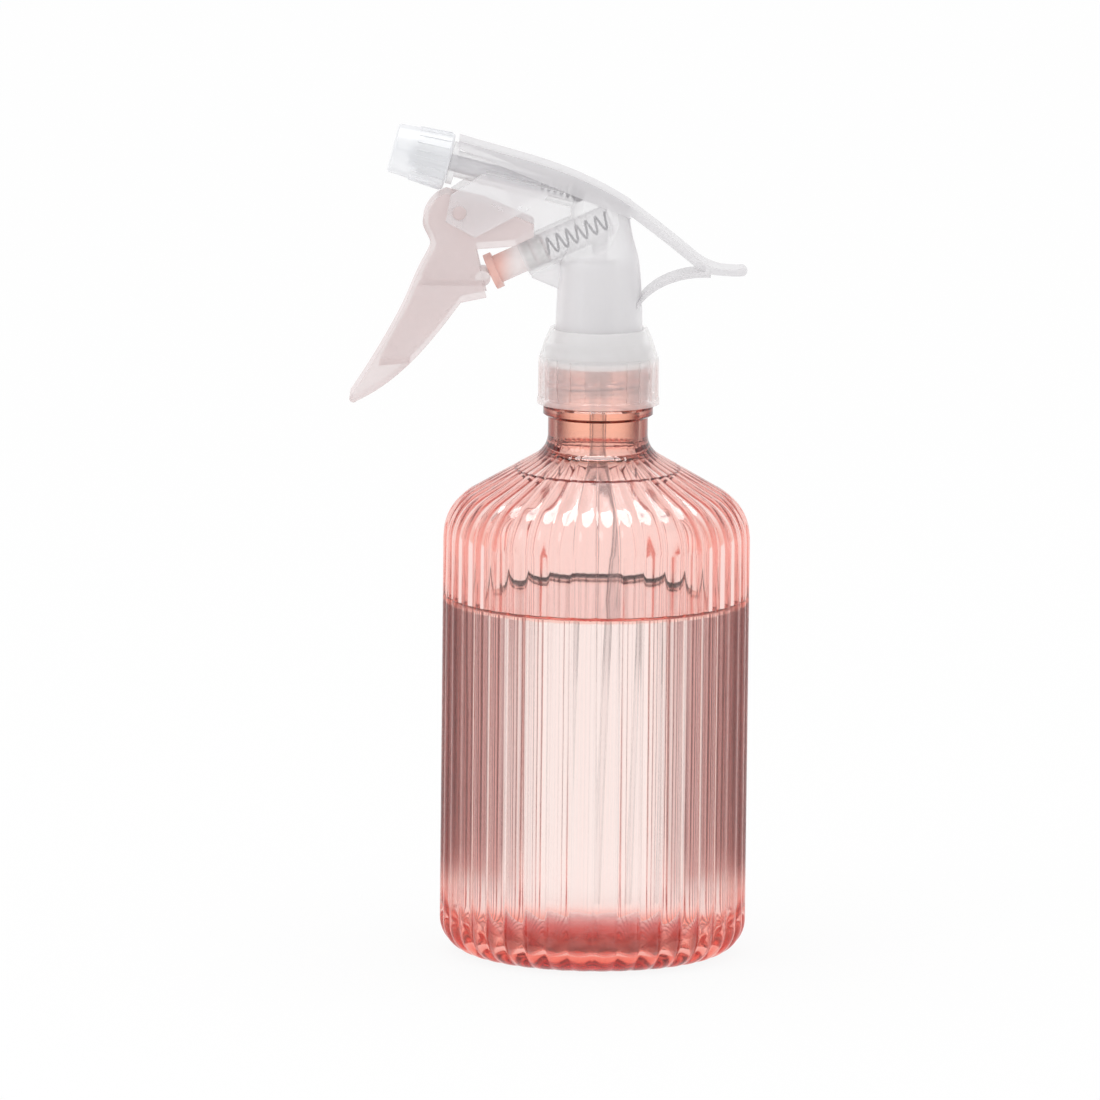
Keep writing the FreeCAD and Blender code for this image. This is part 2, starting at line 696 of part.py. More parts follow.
def outlet_ball():
    """Ball that lets water out towards the nozzle."""
    return Part.makeSphere(outlet_ball_radius, on_barrel(outlet_ball_place()))


def outlet_spring():
    """Light spring that keeps the outlet ball on its seat."""
    start = outlet_ball_place() + 0.62 * outlet_ball_radius + 0.35
    return coil_spring(outlet_wire, outlet_coil, outlet_turns, core_rear - spring_gap - start,
                       on_barrel(start), barrel_way)


# ================================================================ nozzle
def nozzle_core():
    """Flatted stem inside the barrel: water runs past its flats to the swirl tip."""
    length = barrel_nose + core_nose - core_rear
    stem = rod(on_barrel(core_rear), barrel_way, length, barrel_bore - fit_gap)
    size = 2 * barrel_bore
    for side in (-1, 1):
        flat = Part.makeBox(length - 2.2, size, size, FreeCAD.Vector(0, core_flat, -barrel_bore))
        if side < 0:
            flat = flat.mirror(FreeCAD.Vector(), FreeCAD.Vector(0, 1, 0))
        turn = FreeCAD.Rotation(FreeCAD.Vector(1, 0, 0), barrel_way)
        flat.Placement = FreeCAD.Placement(on_barrel(core_rear), turn)
        stem = stem.cut(flat)
    return stem


def nozzle_seal():
    """Sealing ring that slides on the barrel's nose inside the cap."""
    start = on_barrel(barrel_nose - seal_behind_nose)
    return pipe(start, barrel_way, seal_length, seal_outer, barrel_radius + fit_gap)


def nozzle_cap():
    """Ribbed cap with the spray hole."""
    start = on_barrel(cap_rear)
    shell = cone(start, barrel_way, cap_length, cap_rear_radius, cap_front_radius)
    shell = shell.makeFillet(0.7, [shell.Edges[0], shell.Edges[2]])
    seat = barrel_nose - seal_behind_nose - cap_rear
    mouth = rod(start, barrel_way, seat + seal_length + fit_gap, seal_outer + fit_gap)
    socket = rod(start, barrel_way, cap_overlap + core_nose + fit_gap, barrel_radius + fit_gap)
    swirl = rod(on_barrel(barrel_nose + core_nose), barrel_way, swirl_depth, swirl_radius)
    hole = rod(on_barrel(barrel_nose), barrel_way, cap_length, orifice_radius)
    flare = cone(on_barrel(cap_front - spray_cone), barrel_way, spray_cone + 0.01, orifice_radius,
                 2.6)
    rib = Part.makeBox(cap_rib_length, 0.9, 2.0, FreeCAD.Vector(0.8, -0.45, cap_rear_radius - 2.0))
    turn = FreeCAD.Rotation(FreeCAD.Vector(1, 0, 0), barrel_way)
    lean = math.degrees(math.atan2(cap_rear_radius - cap_front_radius, cap_length))
    rib.rotate(FreeCAD.Vector(0, 0, cap_rear_radius), FreeCAD.Vector(0, 1, 0), lean)
    rib.translate(FreeCAD.Vector(0, 0, cap_rib_height))
    rib.Placement = FreeCAD.Placement(start, turn).multiply(rib.Placement)
    ribs = around(rib, cap_ribs, start, barrel_way)
    return shell.fuse(ribs).cut([mouth, socket, swirl, hole, flare])


# ================================================================ trigger
def trigger_edges():
    """Ring of edges of the trigger's side outline."""
    front = from_pivot(trigger_front_line)
    back = from_pivot(trigger_back_line)
    tip = from_pivot([trigger_tip])[0]
    edges = curve_through(front)
    edges += arc_through(front[-1], tip, back[0])
    edges += curve_through(back)
    edges += line_through([back[-1]] + from_pivot(trigger_wing_line) + [front[0]])
    return edges


def trigger_hollow():
    """Ring of edges of the space between the trigger's side walls."""
    front = [(x + finger_plate, z - 0.3 * finger_plate) for x, z in from_pivot(trigger_front_line[:-1])]
    tip = from_pivot([trigger_hollow_tip])[0]
    back = from_pivot(trigger_hollow_line)
    top = (front[0][0], back[-1][1])
    return curve_through(front[1:-1] + [tip]) + line_through([tip] + back + [top, front[1]])


def trigger():
    """Channel-shaped lever with trunnions, finger plate and a pusher for the piston."""
    solid = plate(trigger_edges(), -trigger_half, trigger_half)
    solid = solid.cut(plate(trigger_hollow(), -trigger_inner, trigger_inner))
    nose = on_cylinder(pusher_place)
    along = FreeCAD.Vector(0, 1, 0)
    pusher = rod(FreeCAD.Vector(nose.x, -trigger_inner, nose.z), along, 2 * trigger_inner, pusher_radius)
    rib_front = pivot_x + pusher_rib_front
    rib_low = nose.z - pusher_radius
    rib = plate_outline([
        (nose.x, rib_low), (nose.x, rib_low + pusher_rib), (rib_front, rib_low + pusher_rib),
        (rib_front - 0.5 * pusher_rib, rib_low)], -trigger_inner, trigger_inner)
    solid = solid.fuse([pusher, rib])
    pin = rod(FreeCAD.Vector(pivot_x, -ear_outer, pivot_z), along, ear_outer - trigger_inner,
              trunnion_radius)
    other = rod(FreeCAD.Vector(pivot_x, trigger_inner, pivot_z), along, ear_outer - trigger_inner,
                trunnion_radius)
    return solid.fuse([pin, other])


# ================================================================ shroud
def cover_top(drop=0.0):
    """Top line of the cover, from its front edge to the column, lowered by drop."""
    edge = cap_rear - cover_front_gap
    front = [over_barrel(edge, cover_front_height), over_barrel(edge - cover_brow_back, cover_brow_height)]
    return [(x, z - drop) for x, z in front] + from_joint(cover_line[:3], drop)


def cover():
    """Roof plate with side lips over the barrel and the column's top."""
    top = cover_top()
    front, rear = top[0], top[-1]
    edges = curve_through(top)
    rear_low = (rear[0], rear[1] - shroud_rear_lip)
    front_low = (front[0], front[1] - shroud_front_lip)
    edges += line_through([rear, rear_low, front_low, front])
    shell = plate(edges, -shroud_half, shroud_half)
    under = cover_top(shroud_plate)
    under = [(under[0][0] - 1, under[0][1] + 0.3)] + under[1:-1] + [(under[-1][0] + 1, under[-1][1] - 0.6)]
    low = joint.z - 20
    edges = curve_through(under)
    edges += line_through([under[-1], (under[-1][0], low), (under[0][0], low), under[0]])
    return shell.cut(plate(edges, -shroud_half + shroud_lip, shroud_half - shroud_lip))


def tail():
    """Flat tail behind the column, with a strut back down to it."""
    spine = from_joint(cover_line[2:])
    spine_low = from_joint(cover_line[2:], tail_thickness)
    end = from_joint(tail_line)
    end_low = from_joint(tail_line, tail_tip_thickness)
    tip = (end[-1][0] + tail_tip_thickness / 2, end[-1][1] - tail_tip_thickness / 2)
    edges = curve_through(spine) + curve_through(end)
    edges += arc_through(end[-1], tip, end_low[-1]) + line_through([end_low[-1], end_low[1], spine_low[-1]])
    edges += curve_through(spine_low) + line_through([spine_low[0], spine[0]])
    blade = plate(edges, -tail_half, tail_half)
    low = from_joint(strut_line)
    high = from_joint(strut_line, -strut_thickness)
    edges = curve_through(low) + line_through([low[-1], high[-1]])
    edges += curve_through(high) + line_through([high[0], low[0]])
    strut = plate(edges, -tail_half, tail_half)
    up = FreeCAD.Vector(0, 0, 1)
    centre = FreeCAD.Vector(tip[0] - tail_half, 0, joint.z - 40)
    keep = rod(centre, up, 80, tail_half)
    front = FreeCAD.Vector(-20, -tail_half, centre.z)
    keep = keep.fuse(Part.makeBox(centre.x - front.x, 2 * tail_half, 80, front))
    return blade.fuse(strut).common(keep)


def shroud():
    """Cover and tail in one moulding, clear of the column and the barrel."""
    column = column_turned(shroud_gap).cut(above_roof(0))
    return cover().fuse(tail().cut(column)).cut(barrel_outside(shroud_gap))


def write(name, shape):
    """One STEP file per piece, with a line on what was made."""
    solid = shape.removeSplitter() if name != "bottle" else shape
    solid.exportStep("parts/" + name + ".step")
    box = solid.BoundBox
    print(f"{name}: {len(solid.Solids)} solid(s), valid {solid.isValid()}, {solid.Volume:.0f} mm3, "
          f"x {box.XMin:.1f}..{box.XMax:.1f}, y {box.YMin:.1f}..{box.YMax:.1f}, "
          f"z {box.ZMin:.1f}..{box.ZMax:.1f}")


if __name__ == "__main__":
    os.makedirs("parts", exist_ok=True)
    write("bottle", bottle())
    write("screw_closure", screw_closure())
    write("neck_gasket", neck_gasket())
    write("tube_holder", tube_holder())
    write("inlet_ball", inlet_ball())
    write("dip_tube", dip_tube())
    write("pump_body", pump_body())
    write("piston", piston())
    write("piston_seal", lip_seal(piston_seal_start))
    write("vent_seal", lip_seal(vent_seal_start))
    write("return_spring", return_spring())
    write("outlet_ball", outlet_ball())
    write("outlet_spring", outlet_spring())
    write("nozzle_core", nozzle_core())
    write("nozzle_seal", nozzle_seal())
    write("nozzle_cap", nozzle_cap())
    write("trigger", trigger())
    write("shroud", shroud())
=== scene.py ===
# %% [markdown]
# # A trigger mister with a fluted see-through bottle
# The object is a plant mister: a coral bottle with forty flutes, part filled with water, under a
# sprayer head of natural polypropylene. Its solid pieces arrive as a fixed frame, measured and
# jointed. They could all be modelled again here, but most of them already have their real shape,
# so this lesson only gives those a finish. It rebuilds the bottle and the two springs as finer
# meshes, and it fills the bottle with water.

import math

import bpy
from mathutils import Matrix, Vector


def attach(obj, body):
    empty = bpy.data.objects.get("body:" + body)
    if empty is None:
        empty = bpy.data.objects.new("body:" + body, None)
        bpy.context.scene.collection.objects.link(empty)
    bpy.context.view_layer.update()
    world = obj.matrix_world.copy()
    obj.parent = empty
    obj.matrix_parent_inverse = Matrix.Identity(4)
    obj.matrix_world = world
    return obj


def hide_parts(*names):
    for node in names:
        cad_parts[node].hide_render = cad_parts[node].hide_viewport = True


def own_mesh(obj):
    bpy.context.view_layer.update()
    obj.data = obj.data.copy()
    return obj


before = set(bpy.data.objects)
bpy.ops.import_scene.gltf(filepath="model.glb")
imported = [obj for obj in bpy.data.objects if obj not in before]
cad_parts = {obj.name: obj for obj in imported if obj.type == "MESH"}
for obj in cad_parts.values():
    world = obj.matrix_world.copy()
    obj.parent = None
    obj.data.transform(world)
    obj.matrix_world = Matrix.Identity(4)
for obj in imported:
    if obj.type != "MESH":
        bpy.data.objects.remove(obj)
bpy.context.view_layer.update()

# %% [markdown]
# ## Shader sums written as Python
# A finish is easier to read as `base + 0.2 * mask` than as a row of linked boxes. The boxes could
# be added and linked one by one, but the sum would be lost among them. Here `Wire` wraps one
# shader value and overloads the operators, so that each sum adds its own Math node. The
# reflected forms let a plain number stand first, as in `1 - mask`.

# %% A shader value with operators
class Wire:
    """One output socket. A sum with it adds a Math node to its board."""

    def __init__(self, board, socket):
        self.board = board
        self.socket = socket

    def math(self, operation, *values):
        return self.board.node("ShaderNodeMath", {"operation": operation}, dict(enumerate(values)))

    def __add__(self, other):
        return self.math("ADD", self, other)

    def __sub__(self, other):
        return self.math("SUBTRACT", self, other)

    def __rsub__(self, other):
        return self.math("SUBTRACT", other, self)

    def __mul__(self, other):
        return self.math("MULTIPLY", self, other)

    def __abs__(self):
        return self.math("ABSOLUTE", self)

    __radd__ = __add__
    __rmul__ = __mul__


print("a Wire takes part in + - * and abs()")

# %% [markdown]
# ## A board for nodes, and a finish on it
# Colours can't go through a Math node, which would turn them grey, so they have a Mix node of
# their own. A `Board` is any node tree, with one method that adds any node: its type, its
# settings, and a value or a wire for each socket. A `Finish` is a board with one Principled
# shader on it, and with the few masks that this object's finishes are made of.

# %% A board of nodes
class Board:
    """A node tree that nodes are added to."""

    def __init__(self, tree):
        self.tree = tree

    def node(self, kind, settings=None, sockets=None, output=0):
        """A new node: settings first, then a value or a Wire for each socket."""
        made = self.tree.nodes.new(kind)
        for name, value in (settings or {}).items():
            setattr(made, name, value)
        for name, value in (sockets or {}).items():
            self.plug(made, name, value)
        return Wire(self, made.outputs[output])

    def plug(self, node, name, value):
        """A Wire is linked to the socket. Anything else is set as its value."""
        if isinstance(value, Wire):
            self.tree.links.new(value.socket, node.inputs[name])
        else:
            node.inputs[name].default_value = value

    def mix(self, mask, low, high):
        """Colour from low to high as a mask goes from 0 to 1."""
        low, high = (c if isinstance(c, Wire) else (*c, 1) for c in (low, high))
        return self.node("ShaderNodeMix", {"data_type": "RGBA"}, {0: mask, 6: low, 7: high}, 2)

    def ramp(self, value, low, high):
        """Mask that rises smoothly from 0 to 1 as a value goes from low to high."""
        return self.node("ShaderNodeMapRange", {"interpolation_type": "SMOOTHSTEP"},
                         {"Value": value, "From Min": low, "From Max": high})


# %% A finish under construction
class Finish(Board):
    """A material with one Principled shader. Lengths are in metres."""

    def __init__(self, name, **constants):
        self.material = bpy.data.materials.new(name)
        self.material.use_nodes = True
        super().__init__(self.material.node_tree)
        self.shader = self.tree.nodes["Principled BSDF"]
        self.place = self.node("ShaderNodeTexCoord", output="Object")
        for socket, value in constants.items():
            self.set(socket.replace("_", " "), value)

    def set(self, name, value):
        self.plug(self.shader, name, value)

    def output(self, name, wire):
        self.plug(self.tree.nodes["Material Output"], name, wire)

    def noise(self, scale, detail=3.0):
        """Cloudy mask with features of about 1 / scale metres."""
        return self.node("ShaderNodeTexNoise", {},
                         {"Vector": self.place, "Scale": scale, "Detail": detail})

    def along(self, axis):
        """Place of a point along X, Y or Z."""
        return self.node("ShaderNodeSeparateXYZ", {}, {0: self.place}, axis)

    def height(self, low, high):
        """Mask that rises from 0 to 1 between two heights."""
        return self.ramp(self.along("Z"), low, high)

    def from_axis(self, low, high):
        """Mask that rises from 0 to 1 between two distances from the upright axis."""
        flat = self.node("ShaderNodeVectorMath", {"operation": "MULTIPLY"},
                         {0: self.place, 1: (1, 1, 0)})
        radius = self.node("ShaderNodeVectorMath", {"operation": "LENGTH"}, {0: flat}, "Value")
        return self.ramp(radius, low, high)

    def edge_on(self):
        """Mask from 0 where the surface faces the eye to 1 where it's seen edge-on."""
        return self.node("ShaderNodeLayerWeight", {}, {"Blend": 0.5}, "Facing")


print("a finish has:", [name for name in vars(Finish) if not name.startswith("_")])

# %% [markdown]
# ## Coral plastic
# The bottle is moulded in tinted clear plastic. Its colour isn't on the surface: light loses
# green and blue on its way through, so the thick foot is deep coral and the thin side a pale
# pink. A glass with a tinted Base Color would be as dark at the side as at the foot. So part of
# the tint is a Volume Absorption inside the solid, and the surface colour adds what a long way
# through the wall does: more tint where the wall is seen edge-on, which Layer Weight tells,
# where it's dry, and towards the neck.

# %% Tint of the wall
MM = 0.001
LEVEL = 92.5 * MM

coral = Finish("coral_clear", IOR=1.5, Transmission_Weight=1.0)
edge = coral.edge_on()
cloud = 0.3 * coral.noise(scale=60.0)
wet_wall = coral.mix(cloud, (1.0, 0.995, 0.985), (1.0, 0.975, 0.96))
dry_wall = coral.mix(cloud, (1.0, 0.89, 0.865), (1.0, 0.86, 0.83))
wall = coral.mix(coral.height(LEVEL - 1 * MM, LEVEL + 2 * MM), wet_wall, dry_wall)
side = coral.mix(coral.ramp(edge, 0.35, 0.95), wall, (1.0, 0.62, 0.53))
neck = coral.mix(coral.ramp(edge, 0.05, 0.6), (1.0, 0.74, 0.63), (0.14, 0.008, 0.003))
body = coral.mix(coral.height(126 * MM, 137 * MM), side, neck)
print("water stands at", round(LEVEL / MM, 1), "mm, and the wall above it is tinted as dry")

# %% [markdown]
# The foot is the thickest plastic: its underside is a dome, and the corner round the dome is
# solid. Light that comes up through the dome turns a deep red, and the outer corner stays
# lighter. A mask on height alone would give both the same red, so a second mask looks at the
# distance from the upright axis.

# %% Tint of the foot, and what the solid soaks up
def soak(finish, colour, density):
    """Colour that light keeps on its way through the solid."""
    finish.output("Volume", finish.node("ShaderNodeVolumeAbsorption", {},
                                        {"Color": (*colour, 1), "Density": density}))


corner = coral.mix(coral.height(3 * MM, 9 * MM), (0.95, 0.28, 0.20), body)
foot = coral.mix(coral.from_axis(17 * MM, 29 * MM), (0.62, 0.010, 0.002), corner)
above_foot = coral.height(10 * MM, 12.5 * MM)
coral.set("Base Color", coral.mix(1 - above_foot, body, foot))
coral.set("Roughness", 0.03 + 0.03 * coral.noise(scale=240.0))
soak(coral, (0.98, 0.45, 0.36), density=70.0)
print(coral.material.name, "has", len(coral.tree.nodes), "nodes")

# %% [markdown]
# ## Water
# Still water is clear and smooth, with less bending power than the plastic. It could be a plain
# glass, but in a fluted bottle its sides mirror the dark room beside it, and its flat top picks
# up the bottle's coral along its rim and shines at a low angle. Both of these reflections are
# painted into the colour of the water's own skin, kept apart by height, and the shine comes from
# Metallic. A thin dark line of painted shade lies where the water climbs the wall, on the half at
# +Y only: that is the far rim seen from the side of this lesson's camera, and from behind it lies
# in front.

# %% Clear water, and the painted reflection on its sides
TOP_FROM = LEVEL - 0.4 * MM
# Colours of painted light: a painted reflection of the dark room, a painted reflection of the
# coral rim, and painted shade on the far rim.
PAINTED_DARK_ROOM, PAINTED_CORAL_RIM, PAINTED_SHADE_RIM = (0.40, 0.19, 0.18), (1.0, 0.62, 0.54), (0.02, 0.015, 0.02)

water = Finish("water", IOR=1.333, Transmission_Weight=1.0, Roughness=0.0)
edge = water.edge_on()
clear = water.mix(water.noise(scale=30.0), (1.0, 0.995, 0.99), (0.995, 0.985, 0.98))
top = water.height(TOP_FROM, LEVEL)
column = water.height(14 * MM, 27 * MM) * (1 - top)
# The sides take a painted reflection of the dark room beside the bottle.
sides = water.mix(water.ramp(edge, 0.03, 0.17) * column, clear, PAINTED_DARK_ROOM)
print("tint of the sides ends at", round(TOP_FROM / MM, 1), "mm")

# %% Top of the water, with a painted reflection and painted shade at its rim
# The rim of the top takes a painted reflection of the bottle's coral.
painted_rim_reflection = water.mix(water.from_axis(24 * MM, 36 * MM), (1.0, 0.98, 0.99), PAINTED_CORAL_RIM)
skin_with_painted_reflections = water.mix(top, sides, painted_rim_reflection)
# Painted shade: a thin dark line where the water climbs the wall, on the far half only.
far_half = water.ramp(water.along("Y"), 5 * MM, 20 * MM)
climbing = water.height(LEVEL + 0.1 * MM, LEVEL + 0.4 * MM)
water.set("Base Color", water.mix(climbing * far_half, skin_with_painted_reflections, PAINTED_SHADE_RIM))
water.set("Metallic", 0.55 * top * water.ramp(edge, 0.6, 0.85))
print(water.material.name, "has", len(water.tree.nodes), "nodes")

# %% [markdown]
# ## Sizes of the bottle
# The bottle is blown: a straight side between a rounded corner and a rounded shoulder, then a
# slope, a short curve into the neck, a bead that the closure stops on, and a screw thread. Every
# height follows from the ones under it, so the profile is worked out from its arcs in order.
# DOME is the rise of the underside, and FLOOR and BASE are the heights of the floor's middle
# and of its edge inside.

# %% Radii, heights and slopes, in metres
FLUTES = 40
FLUTE_DEPTH, FLUTE_TRACE = 1.0 * MM, 0.08 * MM
BODY, FOOT, NECK, BORE = 40 * MM, 31 * MM, 13 * MM, 10.8 * MM
SIDE_TOP = 109 * MM
CORNER, SHOULDER, BLEND = 9 * MM, 14 * MM, 6.5 * MM
WALL = 2.2 * MM
DOME_RADIUS, DOME = 28 * MM, 6.5 * MM
FLOOR, BASE = 11 * MM, 4.5 * MM
PLAIN_NECK, BEAD, ABOVE_BEAD = 5.1 * MM, 2.4 * MM, 10.5 * MM
SLOPE = math.radians(30)
FLANK = math.pi / 2 - SLOPE
slope_foot_r = BODY - SHOULDER * (1 - math.cos(FLANK))
slope_foot_z = SIDE_TOP + SHOULDER * math.sin(FLANK)
slope_top_r = NECK + BLEND * (1 - math.cos(FLANK))
slope_top_z = slope_foot_z + (slope_foot_r - slope_top_r) * math.tan(SLOPE)
neck_z = slope_top_z + BLEND * math.sin(FLANK)
bead_z = neck_z + PLAIN_NECK
bead_top = bead_z + BEAD
rim_z = bead_top + ABOVE_BEAD
print("neck starts at", round(neck_z / MM, 2), "mm, rim at", round(rim_z / MM, 2), "mm")

# %% [markdown]
# ## Flutes
# Forty shallow flutes run down the side like the folds of a column: a rounded crest, and a
# valley that is rounded more tightly. They could be carved with a modifier, but the light in
# clear plastic shows every facet of a coarse cut. So each ring of the bottle gets its points
# where the flute bends most, and one share from 0 to 1 says how deep each point lies.

# %% Points round one ring
CREST_TO_VALLEY = (0.0, 0.25, 0.45, 0.62, 0.76, 0.87, 0.95)
CREST_SHARE = 0.86


def dip(place):
    """Depth under the crest, 0 at the crest and 1 in the valley, where place is 1 or -1."""
    out = abs(place)
    if out <= CREST_SHARE:
        return out * out / CREST_SHARE
    rest = (out - CREST_SHARE) / (1 - CREST_SHARE)
    return CREST_SHARE + (1 - CREST_SHARE) * rest * (2 - rest)


one_flute = [-1.0] + [-place for place in reversed(CREST_TO_VALLEY[1:])] + list(CREST_TO_VALLEY)
turn_places = [((flute + 0.5 + 0.5 * place) / FLUTES * 2 * math.pi, dip(place))
               for flute in range(FLUTES) for place in one_flute]
print("points per ring:", len(turn_places))


# %% A ring, and even steps
def ring(radius, height, depth=0.0, ridge=None):
    """Ring of points about the bottle's axis. A ridge adds to the radius, point by point."""
    points = []
    for angle, share in turn_places:
        out = radius - depth * share
        if ridge:
            out += ridge(angle, height)
        points.append((out * math.cos(angle), out * math.sin(angle), height))
    return points


def steps(count):
    """Even shares from 0 to 1."""
    return [i / count for i in range(count + 1)]


widest = max(x for x, y, z in ring(BODY, 0, FLUTE_DEPTH))
print("the side reaches", round(widest / MM, 2), "mm from the axis")

# %% [markdown]
# ## From rings to a closed skin
# A turned form can come from a Screw modifier, but that gives every height the same outline,
# and here the flutes fade out towards the neck. Joining each ring to the next with squares
# allows a new outline at each height. A fan of triangles closes each end on the axis, and edges
# that bend by more than 38 degrees, such as the bead's, are marked sharp.

# %% A new piece, and squares between its rings
def new_piece(name, points, faces, finish):
    """Smooth mesh object in the scene."""
    mesh = bpy.data.meshes.new(name)
    mesh.from_pydata(points, [], faces)
    mesh.polygons.foreach_set("use_smooth", [True] * len(mesh.polygons))
    mesh.materials.append(finish.material)
    piece = bpy.data.objects.new(name, mesh)
    bpy.context.scene.collection.objects.link(piece)
    print(name, len(points), "points,", len(faces), "faces")
    return piece


def tube_faces(rows, count):
    """Squares between rows of points that each close on themselves."""
    faces = []
    for row in range(rows - 1):
        for i in range(count):
            j = (i + 1) % count
            faces.append((row * count + i, row * count + j,
                          (row + 1) * count + j, (row + 1) * count + i))
    return faces


# %% Closed skin through rings
SHARP = math.radians(38)


def skin(name, rings, finish, first_end, last_end):
    """Closed mesh through rings, with a point on the axis at each end's height."""
    count = len(rings[0])
    points = [point for one in rings for point in one]
    faces = tube_faces(len(rings), count)
    for height, start, flip in ((first_end, 0, True),
                                (last_end, (len(rings) - 1) * count, False)):
        centre = len(points)
        points.append((0, 0, height))
        for i in range(count):
            corners = (start + i, start + (i + 1) % count, centre)
            faces.append(corners[::-1] if flip else corners)
    piece = new_piece(name, points, faces, finish)
    piece.data.set_sharp_from_angle(angle=SHARP)
    return piece


# %% [markdown]
# ## Outside of the bottle
# From below, the skin runs out under the dome, round the foot's flat ring and corner, up the
# side, over the shoulder, and up the neck to the rim. The flutes start soft on the corner and
# shrink with the radius, until only a trace is left at the neck.

# %% Depth of the flutes, and the neck thread
PITCH, THREAD_TURNS, THREAD_START = 4.23 * MM, 1.12, 3.1 * MM
THREAD_ROOT, THREAD_HEIGHT = 12.75 * MM, 0.95 * MM
RIDGE_HALF, RIDGE_FLANK, RUN_OUT = 1.0 * MM, 0.6 * MM, 0.05


def depth_at(radius):
    """Depth of the outer flutes, which shrinks with the radius."""
    return FLUTE_DEPTH * (radius - NECK) / (BODY - NECK) + FLUTE_TRACE


def thread(angle, height):
    """Height of the thread's ridge over its root, one turn and a bit."""
    best = 0.0
    for turn in (0, 1):
        share = angle / (2 * math.pi) + turn
        if share > THREAD_TURNS:
            continue
        off = abs(height - (bead_top + THREAD_START + PITCH * share))
        fade = min(1.0, share / RUN_OUT, (THREAD_TURNS - share) / RUN_OUT)
        best = max(best, fade * min(1.0, max(0.0, (RIDGE_HALF - off) / RIDGE_FLANK)))
    return THREAD_HEIGHT * best


print("flutes are", round(depth_at(BODY) / MM, 2), "mm deep at the side and",
      round(depth_at(NECK) / MM, 2), "mm at the neck")


# %% Foot, side and shoulder
SOFT = 0.3 * MM
FADE_IN = 0.16
HALFWAY = 0.4 * SIDE_TOP


def lower_rings():
    rings = [ring(DOME_RADIUS * t, DOME * (1 - t ** 2)) for t in steps(8)[1:]]
    rings.append(ring(DOME_RADIUS + SOFT, 0))
    rings.append(ring(FOOT - SOFT, 0))
    for t in steps(16):
        turn = math.pi / 2 * t
        r = BODY - CORNER + CORNER * math.sin(turn)
        fade = min(1.0, t / FADE_IN)
        rings.append(ring(r, CORNER * (1 - math.cos(turn)),
                          depth_at(r) * fade * fade * (3 - 2 * fade)))
    rings.append(ring(BODY, HALFWAY, depth_at(BODY)))
    for t in steps(18):
        r = BODY - SHOULDER * (1 - math.cos(FLANK * t))
        rings.append(ring(r, SIDE_TOP + SHOULDER * math.sin(FLANK * t), depth_at(r)))
    return rings


# %% Slope, neck, bead and thread
NECK_FADE = 0.9
bead_profile = [(NECK, bead_z - 0.7 * MM), (14.1 * MM, bead_z), (14.3 * MM, bead_z + 0.2 * MM),
                (14.3 * MM, bead_top - 0.5 * MM), (13.8 * MM, bead_top), (THREAD_ROOT, bead_top)]


def upper_rings():
    rings = []
    for t in steps(4)[1:]:
        r = slope_foot_r + (slope_top_r - slope_foot_r) * t
        rings.append(ring(r, slope_foot_z + (slope_top_z - slope_foot_z) * t, depth_at(r)))
    for t in steps(10)[1:]:
        turn = FLANK * (1 - t)
        r = NECK + BLEND * (1 - math.cos(turn))
        rings.append(ring(r, neck_z - BLEND * math.sin(turn),
                          depth_at(r) * (1 - NECK_FADE * t)))
    rings += [ring(r, z) for r, z in bead_profile]
    for t in steps(44)[1:-1]:
        rings.append(ring(THREAD_ROOT, bead_top + ABOVE_BEAD * t, 0, thread))
    rings.append(ring(THREAD_ROOT, rim_z - SOFT, 0, thread))
    rings.append(ring(THREAD_ROOT - SOFT, rim_z))
    return rings


outside = lower_rings() + upper_rings()
print("outside:", len(outside), "rings")

# %% [markdown]
# ## Inside of the bottle
# A blown wall is about equally thick everywhere, so its inside follows the flutes too. A smooth
# inside would turn every flute into a strong lens, and the dry part would show dark stripes that
# the real wall hasn't. The inner flutes are a little shallower than the outer ones, and fade in
# above the floor. Inside the shoulder a small step makes the fine ring under the neck.

# %% Half profile of the space inside
INNER = BODY - WALL
INNER_FLUTES = 0.92
LOWER_SHARE, DEEPEN_FROM = 0.6, 0.6
BEND = SHOULDER - WALL
FLOOR_CURVE = 2.3


def inside_profile(grow=0.0):
    """Radii and heights from the floor's centre to the shoulder's end, grown outwards."""
    corner = CORNER + 1.0 * MM
    flat = INNER - corner
    profile = [(flat * t, FLOOR - grow + (BASE - FLOOR) * t ** FLOOR_CURVE)
               for t in steps(12)[1:]]
    for t in steps(12)[1:]:
        turn = math.pi / 2 * t
        profile.append((flat + (corner + grow) * math.sin(turn),
                        BASE + corner - (corner + grow) * math.cos(turn)))
    profile.append((INNER + grow, SIDE_TOP * DEEPEN_FROM))
    for t in steps(12):
        turn = FLANK * t
        profile.append((INNER - BEND + (BEND + grow) * math.cos(turn),
                        SIDE_TOP + (BEND + grow) * math.sin(turn)))
    return profile


print("inside profile:", len(inside_profile()), "places")


# %% Fluted rings inside, and the throat
RISE_FROM, RISE_OVER = BASE + 1 * MM, 8 * MM
shoulder_steps = ((0.25, 0), (0.52, 0), (0.525, 0.8), (0.75, 0.8), (0.92, 0.6), (1.0, 0))


def inner_dip(radius):
    """Depth of the inner flutes, none at the bore."""
    return INNER_FLUTES * max(0.0, depth_at(radius) - FLUTE_TRACE)


def inner_ring(radius, height, grow=0.0):
    """Ring on the inside, fluted from the bottom corner up, and fully at the side's top."""
    rise = min(1.0, max(0.0, (height - RISE_FROM) / RISE_OVER))
    upper = min(1.0, max(0.0, (height / SIDE_TOP - DEEPEN_FROM) / (1 - DEEPEN_FROM)))
    share = LOWER_SHARE + (1 - LOWER_SHARE) * upper
    return ring(radius, height, inner_dip(radius - grow) * rise * share)


